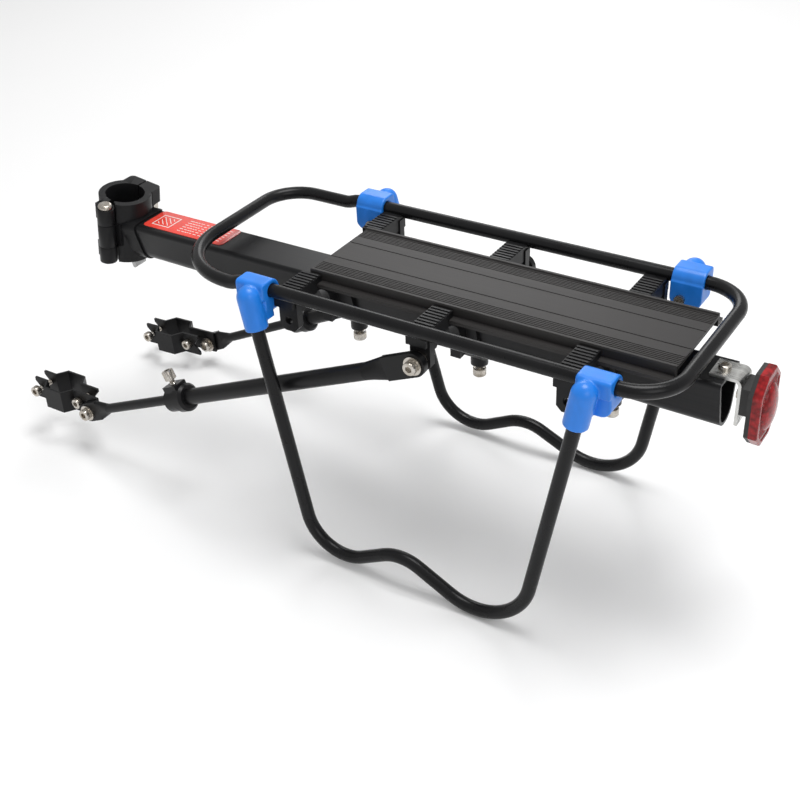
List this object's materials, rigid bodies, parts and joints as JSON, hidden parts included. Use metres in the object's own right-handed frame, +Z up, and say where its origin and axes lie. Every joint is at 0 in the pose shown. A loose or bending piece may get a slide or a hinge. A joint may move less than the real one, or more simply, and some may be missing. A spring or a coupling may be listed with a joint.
{
  "type": "bicycle rear rack",
  "caption": "Seatpost-mounted bicycle rear rack: quick-release clamp, keel beam, ribbed deck inside a tube hoop, looped side guards, telescopic stays and a rear reflector.",
  "frame": {"origin": "middle of the seatpost bore, on its axis", "axes": "+X rearward along the level deck, +Y to the bicycle right, +Z up; the bore leans 8 degrees back at the top"},
  "size_m": [0.6199, 0.2098, 0.2174],
  "materials": {
    "bar_black": "satin black powder coat",
    "beam_black": "satin black coated aluminium extrusion",
    "deck_anodised": "dark warm grey, lengthwise grooves, semi-matte",
    "cast_black": "satin black coated casting",
    "stay_black": "satin black tube",
    "steel_black": "black coated steel",
    "clip_blue": "bright blue moulded plastic",
    "label_red": "red printed film with plain pale lines",
    "lens_red": "clear deep red prismatic lens",
    "housing_black": "black moulded plastic",
    "zinc_plate": "bright zinc",
    "lever_grey": "plain silver-grey",
    "fastener_steel": "plated steel"
  },
  "bodies": {
    "frame": {"beam_label": "label_red", "bracket_bolts": "fastener_steel", "clamp_body": "cast_black", "clamp_bolt": "fastener_steel", "clamp_hinge_pin": "fastener_steel", "clamp_nut": "fastener_steel", "cross_bracket_front": "cast_black", "cross_bracket_middle": "cast_black", "cross_bracket_rear": "cast_black", "deck_plate": "deck_anodised", "guard_clip_front_left": "clip_blue", "guard_clip_front_right": "clip_blue", "guard_clip_rear_left": "clip_blue", "guard_clip_rear_right": "clip_blue", "guard_clip_screws": "fastener_steel", "hoop_rail": "bar_black", "main_beam": "beam_black", "reflector_bracket": "zinc_plate", "reflector_bracket_screw": "fastener_steel", "reflector_housing": "housing_black", "reflector_lens": "lens_red", "reflector_screw": "fastener_steel", "side_guard_left": "bar_black", "side_guard_right": "bar_black", "stay_pivot_bolts": "fastener_steel", "stay_pivot_bushes": "fastener_steel", "stay_pivot_nuts": "fastener_steel", "stay_pivot_washers": "fastener_steel"},
    "clamp_jaw": {"clamp_jaw": "cast_black"},
    "quick_release": {"quick_release_lever": "lever_grey", "lever_pin": "fastener_steel"},
    "stay_left": {"stay_tube_left": "stay_black", "stay_collar_left": "stay_black", "collar_screw_left": "fastener_steel"},
    "rod_left": {"stay_rod_left": "steel_black", "rod_end_bolt_left": "fastener_steel", "rod_end_washer_left": "fastener_steel", "rod_end_nut_left": "fastener_steel"},
    "seatstay_clamp_left": {"seatstay_shell_outer_left": "steel_black", "seatstay_shell_inner_left": "steel_black", "seatstay_screws_left": "fastener_steel", "seatstay_nuts_left": "fastener_steel"},
    "stay_right": {"stay_tube_right": "stay_black", "stay_collar_right": "stay_black", "collar_screw_right": "fastener_steel"},
    "rod_right": {"stay_rod_right": "steel_black", "rod_end_bolt_right": "fastener_steel", "rod_end_washer_right": "fastener_steel", "rod_end_nut_right": "fastener_steel"},
    "seatstay_clamp_right": {"seatstay_shell_outer_right": "steel_black", "seatstay_shell_inner_right": "steel_black", "seatstay_screws_right": "fastener_steel", "seatstay_nuts_right": "fastener_steel"}
  },
  "joints": [
    {"name": "lever_swing", "type": "hinge", "parent": "frame", "child": "quick_release", "pos_m": [-0.02128, 0.0216, 0.01208], "axis": [0, 1, 0], "range_deg": [0, 130]},
    {"name": "jaw_open", "type": "hinge", "parent": "frame", "child": "clamp_jaw", "pos_m": [0.00099, -0.025, -0.00014], "axis": [0.1392, 0, 0.9903], "range_deg": [0, 2.86]},
    {"name": "stay_swing_left", "type": "hinge", "parent": "frame", "child": "stay_left", "pos_m": [0.331, -0.0795, 0.002], "axis": [0, 1, 0], "range_deg": [-64, 12]},
    {"name": "rod_slide_left", "type": "slide", "parent": "stay_left", "child": "rod_left", "axis": [-0.9143, 0, -0.4051], "range_m": [-0.06, 0.06]},
    {"name": "seatstay_clamp_turn_left", "type": "hinge", "parent": "rod_left", "child": "seatstay_clamp_left", "pos_m": [-0.00087, -0.0795, -0.14507], "axis": [0, 1, 0], "range_deg": [-60, 60]},
    {"name": "stay_swing_right", "type": "hinge", "parent": "frame", "child": "stay_right", "pos_m": [0.331, 0.0795, 0.002], "axis": [0, 1, 0], "range_deg": [-64, 12]},
    {"name": "rod_slide_right", "type": "slide", "parent": "stay_right", "child": "rod_right", "axis": [-0.8973, 0, -0.4415], "range_m": [-0.06, 0.06]},
    {"name": "seatstay_clamp_turn_right", "type": "hinge", "parent": "rod_right", "child": "seatstay_clamp_right", "pos_m": [0.00171, 0.0795, -0.16003], "axis": [0, 1, 0], "range_deg": [-60, 60]}
  ],
  "couplings": [
    {"joint": "jaw_open", "follows": "lever_swing", "ratio": 0.02081}
  ]
}
